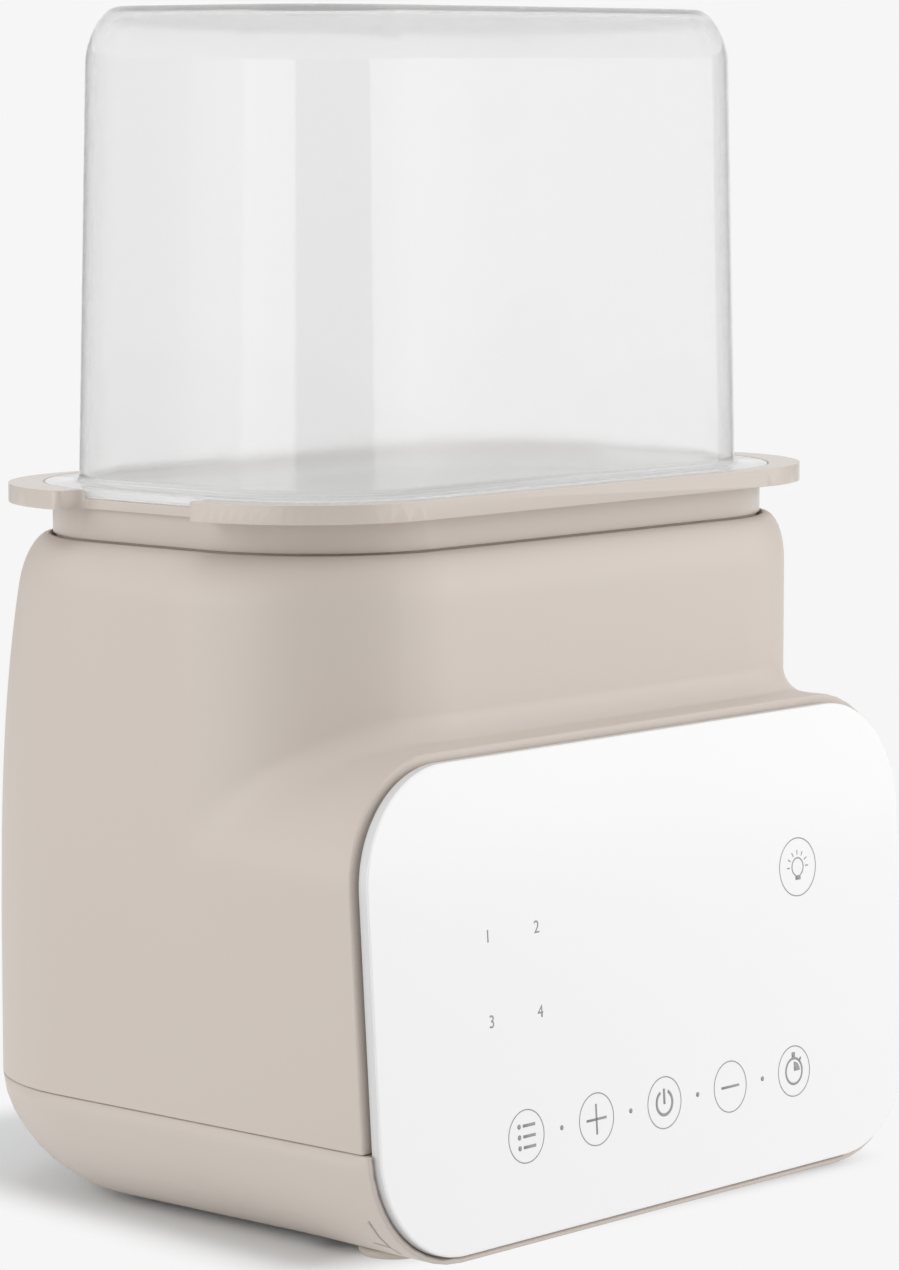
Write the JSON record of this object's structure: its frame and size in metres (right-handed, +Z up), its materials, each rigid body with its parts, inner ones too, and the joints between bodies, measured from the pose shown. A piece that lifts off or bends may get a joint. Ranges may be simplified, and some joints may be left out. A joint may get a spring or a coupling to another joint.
{
  "type": "bottle warmer sterilizer",
  "caption": "Twin baby bottle warmer and steam sterilizer: beige moulded body with a leaning white touch panel, lift-out bottle basket on a ring and clear lift-off steam dome.",
  "frame": {"origin": "on the table below the middle of the object's box, between the four feet", "axes": "+X to the user's right facing the panel, +Y from the panel towards the back, +Z up"},
  "size_m": [0.1994, 0.1506, 0.285],
  "materials": {
    "beige_plastic": "fine satin moulded polypropylene, warm beige",
    "panel_white": "gloss white acrylic with thin grey printed symbols",
    "dome_clear": "clear moulded plastic, polished",
    "basket_grey": "light grey moulded polypropylene",
    "tank_aluminium": "pressed, satin",
    "silicone_red": "moulded silicone",
    "foot_rubber": "moulded rubber",
    "pad_foam": "conductive foam",
    "board_green": "solder mask",
    "light_box": "white moulded plastic",
    "black_plastic": "moulded",
    "screw_steel": "zinc plated",
    "cable_white": "flat cable",
    "heater_steel": "oxidised",
    "sensor_brass": "turned",
    "relay_blue": "moulded",
    "terminal_green": "moulded",
    "gland_grey": "moulded"
  },
  "bodies": {
    "root": {"main_housing": "beige_plastic", "base_cover": "beige_plastic", "touch_panel": "panel_white", "control_board": "board_green", "touch_pads": "pad_foam", "display_module": "light_box", "indicator_leds": "light_box", "buzzer": "black_plastic", "control_board_screws": "screw_steel", "ribbon_cable": "cable_white", "water_tank": "tank_aluminium", "tank_seal": "silicone_red", "tank_screws": "screw_steel", "heating_element": "heater_steel", "heater_clamps": "screw_steel", "thermostat": "black_plastic", "thermal_fuse": "light_box", "temperature_sensor": "sensor_brass", "heater_leads": "silicone_red", "power_board": "board_green", "transformer": "heater_steel", "relay": "relay_blue", "filter_capacitor": "black_plastic", "mains_terminal": "terminal_green", "power_board_screws": "screw_steel", "cord_gland": "gland_grey", "feet": "foot_rubber", "base_screws": "screw_steel"},
    "basket_body": {"basket_ring": "beige_plastic", "basket": "basket_grey"},
    "dome_body": {"dome_cover": "dome_clear"}
  },
  "joints": [
    {"name": "basket_lift", "type": "slide", "parent": "root", "child": "basket_body", "axis": [0, 0, 1], "range_m": [0, 0.11]},
    {"name": "dome_lift", "type": "slide", "parent": "basket_body", "child": "dome_body", "axis": [0, 0, 1], "range_m": [0, 0.12]}
  ]
}
